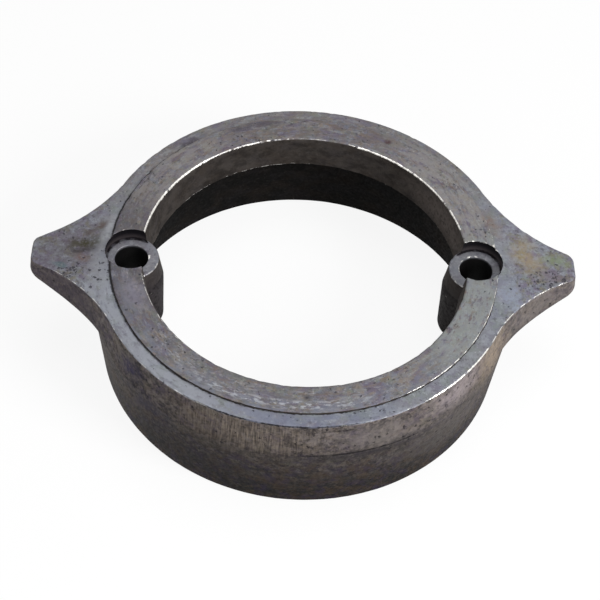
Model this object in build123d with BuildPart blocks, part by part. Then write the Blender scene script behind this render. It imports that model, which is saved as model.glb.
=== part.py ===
"""Sacrificial ring anode of a boat's stern drive, cast in zinc as one piece.

A flanged ring with a thin skirt below it, two pointed lobes that fair it into the
water flow and two screw bosses in its bore. The ring stands on its skirt: the axis
is Z, the skirt's lower edge is at Z = 0 and the lobes lie along X.
"""

import os
from math import acos, atan2, cos, hypot, radians, sin, tan

from build123d import *

# Driving dimensions, in millimetres and degrees.

# Ring: a raised land surrounds the bore, and a lower rim surrounds the land.
overall_height = 39.0
bore_diameter = 98.0
land_width = 9.4
land_rise = 0.6
rim_width = 4.6
flange_thickness = 10.0
skirt_edge_wall = 4.3

# Mould: the outer walls lean back from the parting line, the core leans inside the skirt.
parting_depth = 12.5
upper_draft = 7.0
skirt_draft = 4.2
core_draft = 1.5
bore_draft = 8.0

# Lobes: the tip width is between the flanks where they would reach the blunt end.
lobe_length = 19.0
lobe_tip_width = 9.4
lobe_tip_thickness = 7.2
lobe_flank_radius = 52.0
lobe_corner_radius = 3.4
lobe_fall = 3.5

# Screw bosses: the screw axis stands this far outside the bore's upper edge.
screw_offset = 3.3
screw_hole_diameter = 10.0
counterbore_diameter = 15.4
counterbore_depth = 4.3
boss_wall = 0.7
boss_foot_height = 9.0

# Edges of the casting: rounded round the top, bevelled at the land's step and on the hidden side.
bore_edge_round = 0.8
land_edge_bevel = 0.25
rim_edge_round = 0.8
lobe_edge_bevel = 1.2
skirt_edge_bevel = 0.5
flange_root_bevel = 2.2
boss_foot_bevel = 0.6

# Heights of the ring's section, and its radii at those heights.
rim_height = overall_height - land_rise
parting_height = overall_height - parting_depth
underside_height = overall_height - flange_thickness
bore_radius = bore_diameter / 2
throat_radius = bore_radius - flange_thickness * tan(radians(bore_draft))
land_radius = bore_radius + land_width
ring_radius = land_radius + rim_width
parting_radius = ring_radius + (rim_height - parting_height) * tan(radians(upper_draft))
skirt_edge_radius = parting_radius - parting_height * tan(radians(skirt_draft))
core_edge_radius = skirt_edge_radius - skirt_edge_wall
core_top_radius = core_edge_radius - underside_height * tan(radians(core_draft))

# The lobe's flank is an arc from the corner of its end, running tangent into the rim.
lobe_reach = ring_radius + lobe_length
tip_corner = (lobe_reach, lobe_tip_width / 2)
tip_distance = hypot(*tip_corner)
flank_centre_distance = ring_radius + lobe_flank_radius
flank_angle = atan2(tip_corner[1], tip_corner[0]) + acos(
    (flank_centre_distance**2 - lobe_flank_radius**2 + tip_distance**2)
    / (2 * flank_centre_distance * tip_distance)
)
flank_end = (ring_radius * cos(flank_angle), ring_radius * sin(flank_angle))

# The lobe's underside is a shallow keel, rising from the parting line to the thin tip.
keel_root = (parting_radius, parting_height)
keel_tip = (lobe_reach + parting_radius - ring_radius, rim_height - lobe_tip_thickness)

# The lobe's top falls away gently, starting just outside the land.
fall_start = land_radius + 0.6
fall_end = lobe_reach + rim_width
fall_drop = (fall_end - fall_start) * tan(radians(lobe_fall))

# The bosses flare down to the parting line and narrow again below it.
screw_spacing = bore_diameter + 2 * screw_offset
boss_top_height = overall_height - counterbore_depth
boss_top_radius = counterbore_diameter / 2 + boss_wall
boss_waist_radius = boss_top_radius + (boss_top_height - parting_height) * tan(radians(bore_draft))
boss_foot_radius = boss_waist_radius - (parting_height - boss_foot_height) * tan(radians(core_draft))


with BuildPart() as anode_ring:
    # Plate with both lobes, drafted outward from the rim down to the parting line.
    with BuildSketch(Plane.XY.offset(rim_height)) as rim_outline:
        with BuildLine():
            Line((lobe_reach, 0), tip_corner)
            RadiusArc(tip_corner, flank_end, lobe_flank_radius)
            RadiusArc(flank_end, (0, ring_radius), -ring_radius)
            mirror(about=Plane.XZ)
            mirror(about=Plane.YZ)
        make_face()
        end_vertices = rim_outline.vertices().group_by(lambda vertex: abs(vertex.X))[-1]
        fillet(end_vertices.filter_by(lambda vertex: abs(vertex.Y) > 0), lobe_corner_radius)
    extrude(amount=parting_height - rim_height, taper=-upper_draft)

    # Keel under each lobe, leaving the parting plane tangentially, with bevelled edges.
    with BuildSketch(Plane.XZ):
        with BuildLine():
            TangentArc(keel_root, keel_tip, tangent=(1, 0))
            Polyline(keel_tip, (keel_tip[0], parting_height), keel_root)
        make_face()
        mirror(about=Plane.YZ)
    extrude(amount=ring_radius, both=True, mode=Mode.SUBTRACT)
    undersides = anode_ring.faces().filter_by(lambda face: face.normal_at().Z < 0)
    outer_walls = anode_ring.faces().filter_by(lambda face: 0 < face.normal_at().Z < 1)
    chamfer(undersides.edges().filter_by(lambda edge: edge in outer_walls.edges()), lobe_edge_bevel)

    # The plate's middle gives way to the ring, turned from its section.
    with BuildSketch(Plane.XY.offset(parting_height)):
        Circle(land_radius)
    extrude(amount=rim_height - parting_height, mode=Mode.SUBTRACT)
    with BuildSketch(Plane.XZ) as ring_section:
        with BuildLine():
            Polyline(
                (bore_radius, overall_height),
                (land_radius, overall_height),
                (land_radius, rim_height),
                (ring_radius, rim_height),
                (parting_radius, parting_height),
                (skirt_edge_radius, 0),
                (core_edge_radius, 0),
                (core_top_radius, underside_height),
                (throat_radius, underside_height),
                close=True,
            )
        make_face()
        land_corner = ring_section.vertices().group_by(Axis.Y)[-1].sort_by(Axis.X)[-1]
        chamfer(land_corner, land_edge_bevel)
        bore_corner = ring_section.vertices().group_by(Axis.Y)[-1].sort_by(Axis.X)[0]
        fillet(bore_corner, bore_edge_round)
        chamfer(ring_section.vertices().group_by(Axis.Y)[0], skirt_edge_bevel)
        root_corner = ring_section.vertices().sort_by_distance((core_top_radius, underside_height))[0]
        chamfer(root_corner, flange_root_bevel)
    revolve(axis=Axis.Z)

    # The lobes' tops fall away from the rim, and one rounded edge runs along rim and lobes.
    with BuildSketch(Plane.XZ):
        with BuildLine():
            Polyline(
                (fall_start, rim_height),
                (fall_end, rim_height),
                (fall_end, rim_height - fall_drop),
                close=True,
            )
        make_face()
        mirror(about=Plane.YZ)
    extrude(amount=ring_radius, both=True, mode=Mode.SUBTRACT)
    tops = anode_ring.faces().filter_by(lambda face: face.normal_at().Z > cos(radians(lobe_fall + 1)))
    lower_tops = tops.filter_by(lambda face: face.center().Z < rim_height + land_rise / 2)
    top_edges = ShapeList(edge for face in lower_tops for edge in face.outer_wire().edges())
    fillet(top_edges.filter_by(lambda edge: abs(abs(edge.center().X) - fall_start) > 0.01), rim_edge_round)

    # Screw bosses, standing in the bore and grown into the skirt's wall.
    for screw_x in (-screw_spacing / 2, screw_spacing / 2):
        with BuildSketch(Plane.XZ.shift_origin((screw_x, 0, 0))) as boss_section:
            with BuildLine():
                Polyline(
                    (0, boss_top_height),
                    (boss_top_radius, boss_top_height),
                    (boss_waist_radius, parting_height),
                    (boss_foot_radius, boss_foot_height),
                    (0, boss_foot_height),
                    close=True,
                )
            make_face()
            foot_corner = boss_section.vertices().sort_by_distance((boss_foot_radius, boss_foot_height))[0]
            chamfer(foot_corner, boss_foot_bevel)
        revolve(axis=Axis((screw_x, 0, 0), (0, 0, 1)))

    # Counterbored holes for the screws.
    with Locations(Plane.XY.offset(overall_height)):
        with GridLocations(screw_spacing, 0, 2, 1):
            CounterBoreHole(screw_hole_diameter / 2, counterbore_diameter / 2, counterbore_depth)

anode_ring.part.label = "anode_ring"

os.makedirs("parts", exist_ok=True)
export_step(anode_ring.part, "parts/anode_ring.step")
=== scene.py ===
from math import acos, atan2, copysign, cos, degrees, pi, radians, remainder, sin, sqrt, tan

import bmesh
import bpy
from mathutils import Matrix, Vector, kdtree, noise


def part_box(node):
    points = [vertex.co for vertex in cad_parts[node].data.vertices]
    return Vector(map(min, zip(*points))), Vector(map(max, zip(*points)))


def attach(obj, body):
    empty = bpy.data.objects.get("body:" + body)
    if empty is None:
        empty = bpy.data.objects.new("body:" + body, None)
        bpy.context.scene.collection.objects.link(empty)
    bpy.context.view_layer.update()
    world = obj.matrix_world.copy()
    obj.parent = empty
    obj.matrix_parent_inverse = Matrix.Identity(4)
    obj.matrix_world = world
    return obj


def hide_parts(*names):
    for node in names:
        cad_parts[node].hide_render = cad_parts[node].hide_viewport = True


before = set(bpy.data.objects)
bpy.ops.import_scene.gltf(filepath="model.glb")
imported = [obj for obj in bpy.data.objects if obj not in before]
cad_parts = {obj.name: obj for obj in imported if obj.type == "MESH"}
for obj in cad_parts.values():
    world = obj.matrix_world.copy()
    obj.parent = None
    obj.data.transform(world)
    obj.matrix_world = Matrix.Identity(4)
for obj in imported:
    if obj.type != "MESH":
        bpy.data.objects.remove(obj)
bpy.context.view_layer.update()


# Ring. The anode is one gravity casting in zinc: a flanged ring on a thin skirt, with two
# pointed lobes. Two mould halves meet at the parting line, so the walls lean back from it
# above and below, and a core leaves the skirt hollow. Sizes are in millimetres.
mm = 0.001
overall_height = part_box("anode_ring")[1].z / mm
bore_radius = 49.0
land_width = 9.4
land_rise = 0.6
rim_width = 4.6
flange_thickness = 10.0
parting_depth = 12.5
skirt_edge_wall = 4.3
upper_draft = radians(7.0)
skirt_draft = radians(4.2)
core_draft = radians(1.5)
bore_draft = radians(8.0)
lobe_length = 19.0
lobe_tip_width = 9.4
lobe_tip_thickness = 7.2
lobe_flank_radius = 52.0
lobe_corner_radius = 3.4
lobe_fall = radians(3.5)
lobe_fall_offset = 0.6
bore_edge_round = 0.8
land_edge_round = 0.25
rim_edge_round = 0.8
lobe_edge_round = 1.8
skirt_edge_bevel = 0.5
flange_root_bevel = 2.2

rim_height = overall_height - land_rise
parting_height = overall_height - parting_depth
underside_height = overall_height - flange_thickness
land_radius = bore_radius + land_width
ring_radius = land_radius + rim_width
throat_radius = bore_radius - flange_thickness * tan(bore_draft)
parting_radius = ring_radius + (rim_height - parting_height) * tan(upper_draft)
skirt_edge_radius = parting_radius - parting_height * tan(skirt_draft)
core_edge_radius = skirt_edge_radius - skirt_edge_wall
core_top_radius = core_edge_radius - underside_height * tan(core_draft)

lobe_reach = ring_radius + lobe_length
fall_start = land_radius + lobe_fall_offset
tip_corner = Vector((lobe_reach, lobe_tip_width / 2))
flank_distance = ring_radius + lobe_flank_radius
flank_angle = atan2(tip_corner.y, tip_corner.x) + acos(
    (flank_distance**2 - lobe_flank_radius**2 + tip_corner.length_squared)
    / (2 * flank_distance * tip_corner.length)
)
flank_centre = flank_distance * Vector((cos(flank_angle), sin(flank_angle)))
corner_x = lobe_reach - lobe_corner_radius
corner_reach = lobe_flank_radius + lobe_corner_radius
corner_drop = sqrt(corner_reach**2 - (flank_centre.x - corner_x) ** 2)
corner_centre = Vector((corner_x, flank_centre.y - corner_drop))
corner_to_flank = (flank_centre - corner_centre).normalized()

keel_run = lobe_reach - ring_radius
keel_rise = rim_height - lobe_tip_thickness - parting_height
keel_radius = (keel_run**2 + keel_rise**2) / (2 * keel_rise)


def outline_radius(angle, offset):
    """Distance from the axis to the outline of ring and lobes, grown by an offset."""
    turn = abs(remainder(angle, pi))
    ray = Vector((cos(turn), sin(turn)))
    corner_end = corner_centre + corner_to_flank * (lobe_corner_radius + offset)
    if turn <= atan2(corner_centre.y, lobe_reach + offset):
        return (lobe_reach + offset) / ray.x
    if turn <= atan2(corner_end.y, corner_end.x):
        along = ray.dot(corner_centre)
        round_square = (lobe_corner_radius + offset) ** 2
        return along + sqrt(along**2 - corner_centre.length_squared + round_square)
    if turn <= flank_angle:
        along = ray.dot(flank_centre)
        round_square = (lobe_flank_radius - offset) ** 2
        return along - sqrt(along**2 - flank_centre.length_squared + round_square)
    return ring_radius + offset


def keel_height(x):
    """Height of the lobes' underside, which rises from the parting line to the thin tip."""
    past_root = min(max(abs(x) - parting_radius, 0), keel_radius)
    return parting_height + keel_radius - sqrt(keel_radius**2 - past_root**2)


def top_drop(x):
    """How far the lobes' tops, which fall away outside the land, have dropped below the rim."""
    return max(abs(x) - fall_start, 0) * tan(lobe_fall)


def ring_wall(height):
    """Radius of the ring's drafted wall above the parting line."""
    return ring_radius + (rim_height - height) * tan(upper_draft)


def rounded(centre, radius, start, end, steps=5):
    """Points of a rounded edge in the section, both ends included, between two angles."""
    points = []
    for step in range(steps + 1):
        turn = radians(start + (end - start) * step / steps)
        points.append((centre[0] + radius * cos(turn), centre[1] + radius * sin(turn)))
    return points


def straight(start, end, steps):
    """Points of a straight stretch in the section, without its two ends."""
    run, rise = end[0] - start[0], end[1] - start[1]
    shares = [step / steps for step in range(1, steps)]
    return [(start[0] + run * share, start[1] + rise * share) for share in shares]


throat = (throat_radius, underside_height)
bore_lean = bore_edge_round * (1 - sin(bore_draft)) / cos(bore_draft)
bore_edge_centre = (bore_radius + bore_lean, overall_height - bore_edge_round)
bore_edge = rounded(bore_edge_centre, bore_edge_round, 180 - degrees(bore_draft), 90)
land_edge_centre = (land_radius - land_edge_round, overall_height - land_edge_round)
land_edge = rounded(land_edge_centre, land_edge_round, 90, 0, steps=3)
step_foot = (land_radius, rim_height)
rim_lean = rim_edge_round * (1 - sin(upper_draft)) / cos(upper_draft)
rim_edge_centre = (-rim_lean, rim_height - rim_edge_round)
rim_edge = rounded(rim_edge_centre, rim_edge_round, 90, degrees(upper_draft))
lobe_lean = lobe_edge_round * (1 + sin(upper_draft)) / cos(upper_draft)
skirt_bevel_lean = skirt_edge_bevel * sin(skirt_draft)
skirt_foot = [
    (skirt_edge_radius + skirt_bevel_lean, skirt_edge_bevel * cos(skirt_draft)),
    (skirt_edge_radius - skirt_edge_bevel, 0.0),
]
core_bevel_lean = skirt_edge_bevel * sin(core_draft)
core_foot = [
    (core_edge_radius + skirt_edge_bevel, 0.0),
    (core_edge_radius - core_bevel_lean, skirt_edge_bevel * cos(core_draft)),
]
flange_root = [
    (core_top_radius + flange_root_bevel * sin(core_draft), underside_height - flange_root_bevel),
    (core_top_radius - flange_root_bevel, underside_height),
]


def rim_edge_at(angle):
    """The rim's rounded edge at one angle, as offsets from the outline and heights."""
    drop = top_drop(outline_radius(angle, rim_edge[0][0]) * cos(angle))
    return [(offset + drop * tan(upper_draft), height - drop) for offset, height in rim_edge]


def ring_section(angle):
    """The casting's section at one angle, once round from the throat, as radii and heights."""
    points = [throat]
    points += straight(throat, bore_edge[0], steps=9) + bore_edge
    points += straight(bore_edge[-1], land_edge[0], steps=10) + land_edge
    top_edge = rim_edge_at(angle)
    rim_end = (outline_radius(angle, top_edge[0][0]), rim_height)
    for radius, height in [step_foot] + straight(step_foot, rim_end, steps=14):
        points.append((radius, height - top_drop(radius * cos(angle))))
    points += [(outline_radius(angle, offset), height) for offset, height in top_edge]

    foot_height = parting_height
    passes = 8
    for _ in range(passes):
        foot_offset = (rim_height - foot_height) * tan(upper_draft)
        foot_height = keel_height(outline_radius(angle, foot_offset) * cos(angle))
    lobe_edge_centre = (foot_offset - lobe_lean, lobe_edge_round)
    lobe_edge = []
    for offset, lift in rounded(lobe_edge_centre, lobe_edge_round, degrees(upper_draft), -90):
        edge_x = outline_radius(angle, offset) * cos(angle)
        lobe_edge.append((offset, keel_height(edge_x) + lift))
    for offset, height in straight(top_edge[-1], lobe_edge[0], steps=11) + lobe_edge:
        points.append((max(outline_radius(angle, offset), ring_wall(height)), height))

    keel_start = max(outline_radius(angle, lobe_edge[-1][0]), parting_radius)
    keel = straight((keel_start, 0), (parting_radius, 0), steps=12) + [(parting_radius, 0)]
    for radius, _ in keel:
        points.append((radius, keel_height(radius * cos(angle))))
    points += straight(points[-1], skirt_foot[0], steps=20) + skirt_foot
    points += straight(skirt_foot[1], core_foot[0], steps=4) + core_foot
    points += straight(core_foot[1], flange_root[0], steps=14) + flange_root
    points += straight(flange_root[1], throat, steps=7)
    return points


lobe_tip_turn = 6.0
lobe_tip_step = 0.35
ring_step = 0.6
weld_distance = 0.004 * mm
tip_count = round(lobe_tip_turn / lobe_tip_step)
flank_count = round((90 - lobe_tip_turn) / ring_step)
quarter = [lobe_tip_turn * step / tip_count for step in range(tip_count)]
quarter += [lobe_tip_turn + (90 - lobe_tip_turn) * step / flank_count for step in range(flank_count)]
half = quarter + [180 - turn for turn in [90.0] + quarter[:0:-1]]
section_angles = [radians(turn) for turn in half + [turn + 180 for turn in half]]
sections = [ring_section(angle) for angle in section_angles]
section_size = len(sections[0])
ring_points = [
    (radius * cos(angle) * mm, radius * sin(angle) * mm, height * mm)
    for angle, section in zip(section_angles, sections)
    for radius, height in section
]
ring_faces = []
for column in range(len(sections)):
    here = column * section_size
    following = (column + 1) % len(sections) * section_size
    for row in range(section_size):
        next_row = (row + 1) % section_size
        ring_faces.append((here + row, here + next_row, following + next_row, following + row))
ring_mesh = bpy.data.meshes.new("ring_casting")
ring_mesh.from_pydata(ring_points, [], ring_faces)
casting_form = bmesh.new()
casting_form.from_mesh(ring_mesh)
bmesh.ops.remove_doubles(casting_form, verts=casting_form.verts, dist=weld_distance)
bmesh.ops.recalc_face_normals(casting_form, faces=casting_form.faces)
casting_form.to_mesh(ring_mesh)
casting_form.free()


def add_object(name, data):
    """A new object in the scene."""
    added = bpy.data.objects.new(name, data)
    bpy.context.scene.collection.objects.link(added)
    return added


casting = add_object("ring_casting", ring_mesh)


# Screw bosses. Two bosses cast with the ring stand in its bore, flared to the parting line,
# and each has a drilled screw hole with a counterbore for the screw's head. They are turned
# forms, joined to the ring's body and cut from it.
screw_offset = 3.3
screw_hole_radius = 5.0
hole_bevel = 0.2
counterbore_radius = 7.7
counterbore_depth = 4.3
counterbore_bevel = 0.15
boss_wall = 0.7
boss_top_bevel = 0.3
boss_foot_height = 9.0
boss_foot_bevel = 0.6
drill_overrun = 1.0
turned_sides = 96

screw_reach = bore_radius + screw_offset
screws = (("left", -screw_reach), ("right", screw_reach))
boss_top_height = overall_height - counterbore_depth
boss_top_radius = counterbore_radius + boss_wall
boss_waist_radius = boss_top_radius + (boss_top_height - parting_height) * tan(bore_draft)
boss_foot_radius = boss_waist_radius - (parting_height - boss_foot_height) * tan(core_draft)


def turned_form(name, centre_x, profile):
    """A closed form turned about an upright axis, from its top radii down to its foot."""
    form = bmesh.new()
    rings = []
    for radius, height in profile:
        ring = []
        for side in range(turned_sides):
            turn = 2 * pi * side / turned_sides
            place = Vector((centre_x + radius * cos(turn), radius * sin(turn), height))
            ring.append(form.verts.new(place * mm))
        rings.append(ring)
    for upper, lower in zip(rings, rings[1:]):
        for side in range(turned_sides):
            following = (side + 1) % turned_sides
            form.faces.new((upper[side], lower[side], lower[following], upper[following]))
    form.faces.new(rings[0])
    form.faces.new(reversed(rings[-1]))
    mesh = bpy.data.meshes.new(name)
    form.to_mesh(mesh)
    form.free()
    return add_object(name, mesh)


boss_top = [
    (boss_top_radius - boss_top_bevel, boss_top_height),
    (boss_top_radius, boss_top_height - boss_top_bevel),
]
boss_waist = (boss_waist_radius, parting_height)
boss_foot = [
    (boss_foot_radius, boss_foot_height + boss_foot_bevel),
    (boss_foot_radius - boss_foot_bevel, boss_foot_height),
]
boss_profile = boss_top + straight(boss_top[1], boss_waist, steps=8) + [boss_waist]
boss_profile += straight(boss_waist, boss_foot[0], steps=16) + boss_foot
counterbore_mouth = (counterbore_radius, overall_height)
counterbore_foot = (counterbore_radius, boss_top_height)
hole_mouth = (screw_hole_radius, boss_top_height)
hole_foot = (screw_hole_radius, boss_foot_height)
drill_profile = [
    (counterbore_radius + counterbore_bevel, overall_height + drill_overrun),
    (counterbore_radius + counterbore_bevel, overall_height),
    (counterbore_radius, overall_height - counterbore_bevel),
    *straight(counterbore_mouth, counterbore_foot, steps=5),
    counterbore_foot,
    (screw_hole_radius + hole_bevel, boss_top_height),
    (screw_hole_radius, boss_top_height - hole_bevel),
    *straight(hole_mouth, hole_foot, steps=20),
    (screw_hole_radius, boss_foot_height - drill_overrun),
]
shaping = []
for side_name, screw_x in screws:
    shaping.append((turned_form(f"boss_{side_name}", screw_x, boss_profile), "UNION"))
    shaping.append((turned_form(f"drill_{side_name}", screw_x, drill_profile), "DIFFERENCE"))
for shaper, operation in shaping:
    cut = casting.modifiers.new(shaper.name, "BOOLEAN")
    cut.object = shaper
    cut.operation = operation
    cut.solver = "EXACT"
shaped_casting = casting.evaluated_get(bpy.context.evaluated_depsgraph_get())
shaped_mesh = bpy.data.meshes.new_from_object(shaped_casting)
casting.modifiers.clear()
casting.data = shaped_mesh
for shaper, _ in shaping:
    bpy.data.objects.remove(shaper)


# Edges and skin. The mould leaves the zinc's faces wavy and dimpled, and years of handling have
# dented the lobes and rubbed and chipped the edges. How far each point lies from an edge, and how
# bright that edge is rubbed and painted with highlights there, is kept on the mesh, and so is the dirt
# and painted shade in the corners.
edge_steps = 600
rub_fade = 7.0


def round_line(radius, height, centre_x=0.0):
    """Places along a round edge, each with its bearing about the edge's own axis."""
    line = []
    for step in range(edge_steps):
        bearing = 360 * step / edge_steps - 180
        turn = radians(bearing)
        place = Vector((centre_x + radius * cos(turn), radius * sin(turn), height))
        line.append((bearing, place * mm))
    return line


def strength_finder(lines, stretches):
    """A search tree over the places on some lines, and each place's strength from the stretches."""
    places = []
    strengths = []
    for line_name, line in lines.items():
        named = [stretch[1:] for stretch in stretches if stretch[0] == line_name]
        for bearing, place in line:
            strongest = 0.0
            for start, end, strength in named:
                past = abs(remainder(bearing - (start + end) / 2, 360)) - (end - start) / 2
                strongest = max(strongest, strength * min(max(1 - past / rub_fade, 0), 1))
            places.append(place)
            strengths.append(strongest)
    finder = kdtree.KDTree(len(places))
    for index, place in enumerate(places):
        finder.insert(place, index)
    finder.balance()
    return finder, strengths


# Wear and painted highlights follow the middle of each rounded edge, and dirt and painted shade the
# foot of each corner.
rim_line = []
for angle in section_angles:
    edge_offset, edge_height = rim_edge_at(angle)[2]
    radius = outline_radius(angle, edge_offset)
    rim_place = Vector((radius * cos(angle), radius * sin(angle), edge_height)) * mm
    rim_line.append((degrees(angle), rim_place))
edge_lines = {
    "bore": round_line(*bore_edge[3]),
    "throat": round_line(*throat),
    "step": round_line(*land_edge[1]),
    "rim": rim_line,
}
corner_lines = {
    "step_foot": round_line(*step_foot),
    "parting": round_line(parting_radius, parting_height),
    "rim_edge": rim_line,
}
for side_name, screw_x in screws:
    mouth = round_line(counterbore_radius, overall_height, screw_x)
    for _, place in mouth:
        if place.xy.length > land_radius * mm:
            place.z = rim_height * mm
    edge_lines[f"counterbore_{side_name}"] = mouth
    edge_lines[f"boss_top_{side_name}"] = round_line(boss_top_radius, boss_top_height, screw_x)
    edge_lines[f"boss_waist_{side_name}"] = round_line(*boss_waist, screw_x)
    edge_lines[f"hole_{side_name}"] = round_line(*hole_mouth, screw_x)
    corner_lines[f"counterbore_{side_name}"] = round_line(*counterbore_foot, screw_x)
# Stretches of the lines between two bearings, with how brightly each is rubbed and painted with
# highlights, or how dark it is with dirt and painted shade.
# These are real wear with painted highlights: the brightest stretches lie where the lamps catch the
# edges, and hole_left is a painted glint.
rubbed_and_highlit_stretches = (
    ("rim", -52, -33, 1.0),
    ("rim", -30, -5, 0.6),
    ("rim", -80, -62, 0.2),
    ("rim", -153, -119, 0.4),
    ("rim", -173, -153, 0.5),
    ("step", -60, -14, 0.62),
    ("step", -14, 20, 0.35),
    ("bore", 130, 174, 1.0),
    ("bore", 98, 130, 0.7),
    ("bore", 70, 98, 0.35),
    ("bore", 16, 70, 0.85),
    ("bore", -174, -128, 0.55),
    ("throat", 95, 140, 0.4),
    ("counterbore_left", 100, 190, 0.4),
    ("counterbore_right", 20, 130, 0.8),
    ("boss_top_left", -75, -10, 0.68),
    ("boss_top_right", -160, -95, 0.62),
    ("boss_waist_right", -170, -110, 0.38),
    ("boss_waist_left", -80, -40, 0.35),
    ("hole_left", -2, 12, 1.15),
    ("hole_right", 80, 190, 0.6),
)
# The step foot's stretches are painted shade as well as dirt: darkest on the left, where the step turns
# away from the key lamp, and absent on the lit right.
dirt_and_shade_stretches = (
    ("step_foot", 158, 196, 0.9),
    ("step_foot", 196, 236, 0.6),
    ("step_foot", 236, 284, 0.34),
    ("step_foot", 108, 158, 0.55),
    ("step_foot", -76, -20, 0.26),
    ("counterbore_left", 60, 215, 0.6),
    ("counterbore_right", -75, 130, 0.5),
    ("parting", -86, -62, 0.4),
    ("rim_edge", -117, -80, 0.36),
)
edge_finder, rub_and_highlight_strengths = strength_finder(edge_lines, rubbed_and_highlit_stretches)
corner_finder, dirt_and_shade_strengths = strength_finder(corner_lines, dirt_and_shade_stretches)

wave_length = 13.0 * mm
wave_depth = 0.10 * mm
dimple_length = 2.6 * mm
dimple_depth = 0.05 * mm
chip_length = 2.4 * mm
chip_depth = 0.45 * mm
chip_reach = 1.1 * mm
chip_start = 0.1
# Dents in the lobes' tops, each with its place, radius and depth.
dents = (
    (-67.0, 1.8, 6.5, 0.4),
    (-63.0, 9.5, 4.5, 0.3),
    (-66.5, -4.5, 3.5, 0.25),
    (69.0, 1.5, 6.0, 0.25),
    (72.0, -6.0, 4.0, 0.2),
)
dented_slope = 0.9
seam_distance = 0.002 * mm
skin = bmesh.new()
skin.from_mesh(casting.data)
bmesh.ops.remove_doubles(skin, verts=skin.verts, dist=seam_distance)
bmesh.ops.triangulate(skin, faces=[face for face in skin.faces if len(face.verts) > 4])
folded_slivers = []
for vertex in skin.verts:
    sides = [set(face.verts) for face in vertex.link_faces]
    if len(sides) == 2 and sides[0] == sides[1]:
        folded_slivers.append(vertex)
bmesh.ops.delete(skin, geom=folded_slivers, context="VERTS")
edge_distance = skin.verts.layers.float.new("edge_distance")
edge_rub_and_highlight = skin.verts.layers.float.new("edge_rub_and_highlight")
corner_distance = skin.verts.layers.float.new("corner_distance")
corner_dirt_and_shade = skin.verts.layers.float.new("corner_dirt_and_shade")
skin.normal_update()
for vertex in skin.verts:
    _, edge_index, to_edge = edge_finder.find(vertex.co)
    _, corner_index, to_corner = corner_finder.find(vertex.co)
    vertex[edge_distance] = to_edge / mm
    vertex[edge_rub_and_highlight] = rub_and_highlight_strengths[edge_index]
    vertex[corner_distance] = to_corner / mm
    vertex[corner_dirt_and_shade] = dirt_and_shade_strengths[corner_index]
    wave = 0.5 + 0.5 * noise.noise(vertex.co / wave_length)
    dimple = 0.5 + 0.5 * noise.noise(vertex.co / dimple_length)
    chip = max(noise.noise(vertex.co / chip_length) - chip_start, 0)
    near_edge = max(1 - to_edge / chip_reach, 0)
    sunk = wave_depth * wave + dimple_depth * dimple + chip_depth * (chip * near_edge)
    for dent_x, dent_y, dent_radius, dent_depth in dents:
        from_dent = (vertex.co.xy / mm - Vector((dent_x, dent_y))).length / dent_radius
        if vertex.normal.z > dented_slope and from_dent < 1:
            sunk += dent_depth * mm * (1 - from_dent**2) ** 2
    vertex.co -= vertex.normal * sunk


# Zinc. Air and sea water have tarnished the casting: the faces that were rubbed flat are a
# mottled grey with warm, violet and chalky patches, the walls kept a brown casting skin, and
# the hollow side is dark, with painted shade making it nearly black. Each is a finish of its own over
# the same metal.
def add_node(tree, kind, inputs=None, **settings):
    """Place a shader node, with its settings made and its inputs set or linked."""
    node = tree.nodes.new("ShaderNode" + kind)
    for name, value in settings.items():
        setattr(node, name, value)
    for name, value in (inputs or {}).items():
        if isinstance(value, bpy.types.NodeSocket):
            tree.links.new(value, node.inputs[name])
        else:
            node.inputs[name].default_value = value
    return node


def tree_of(*values):
    """The node tree that the sockets among some values belong to."""
    return next(value.id_data for value in values if isinstance(value, bpy.types.NodeSocket))


def calculate(operation, *values):
    """A number worked out from numbers and sockets."""
    inputs = dict(enumerate(values))
    return add_node(tree_of(*values), "Math", inputs, operation=operation).outputs[0]


def calculate_vector(operation, *values):
    """A vector worked out from vectors and sockets."""
    inputs = dict(enumerate(values))
    return add_node(tree_of(*values), "VectorMath", inputs, operation=operation).outputs[0]


def vector_length(vector):
    """The length of a vector."""
    tree = tree_of(vector)
    return add_node(tree, "VectorMath", {0: vector}, operation="LENGTH").outputs["Value"]


def fade(value, low, high, bottom=0.0, top=1.0):
    """A number that goes smoothly from bottom to top as a value goes from low to high."""
    inputs = {"Value": value, "From Min": low, "From Max": high, "To Min": bottom, "To Max": top}
    smooth = add_node(tree_of(value), "MapRange", inputs, interpolation_type="SMOOTHSTEP")
    return smooth.outputs["Result"]


def noise_at(place, scale, detail, roughness=0.5):
    """Cloudy noise between 0 and 1, with its middle near a half."""
    inputs = {"Vector": place, "Scale": scale, "Detail": detail, "Roughness": roughness}
    return add_node(tree_of(place), "TexNoise", inputs).outputs["Fac"]


def cloud_mask(place, size, share, below, above):
    """Ragged clouds of a size that cover a share of the surface, with edges softened both ways."""
    clouds = noise_at(place, calculate("DIVIDE", 1.0, size), detail=5.0, roughness=0.62)
    edge = calculate("MULTIPLY_ADD", share, -0.5, 0.75)
    return fade(clouds, calculate("SUBTRACT", edge, below), calculate("ADD", edge, above))


def lay_colour(amount, under, over, method="MIX"):
    """A colour laid over another through a mask."""
    tree = tree_of(amount, under, over)
    inputs = {0: amount, 6: under, 7: over}
    return add_node(tree, "Mix", inputs, data_type="RGBA", blend_type=method).outputs[2]


def lay_tint(colour, mask, tint, strength):
    """A tint laid over a colour through a mask, at a strength."""
    return lay_colour(calculate("MULTIPLY", mask, strength), colour, (*tint, 1.0))


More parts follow.
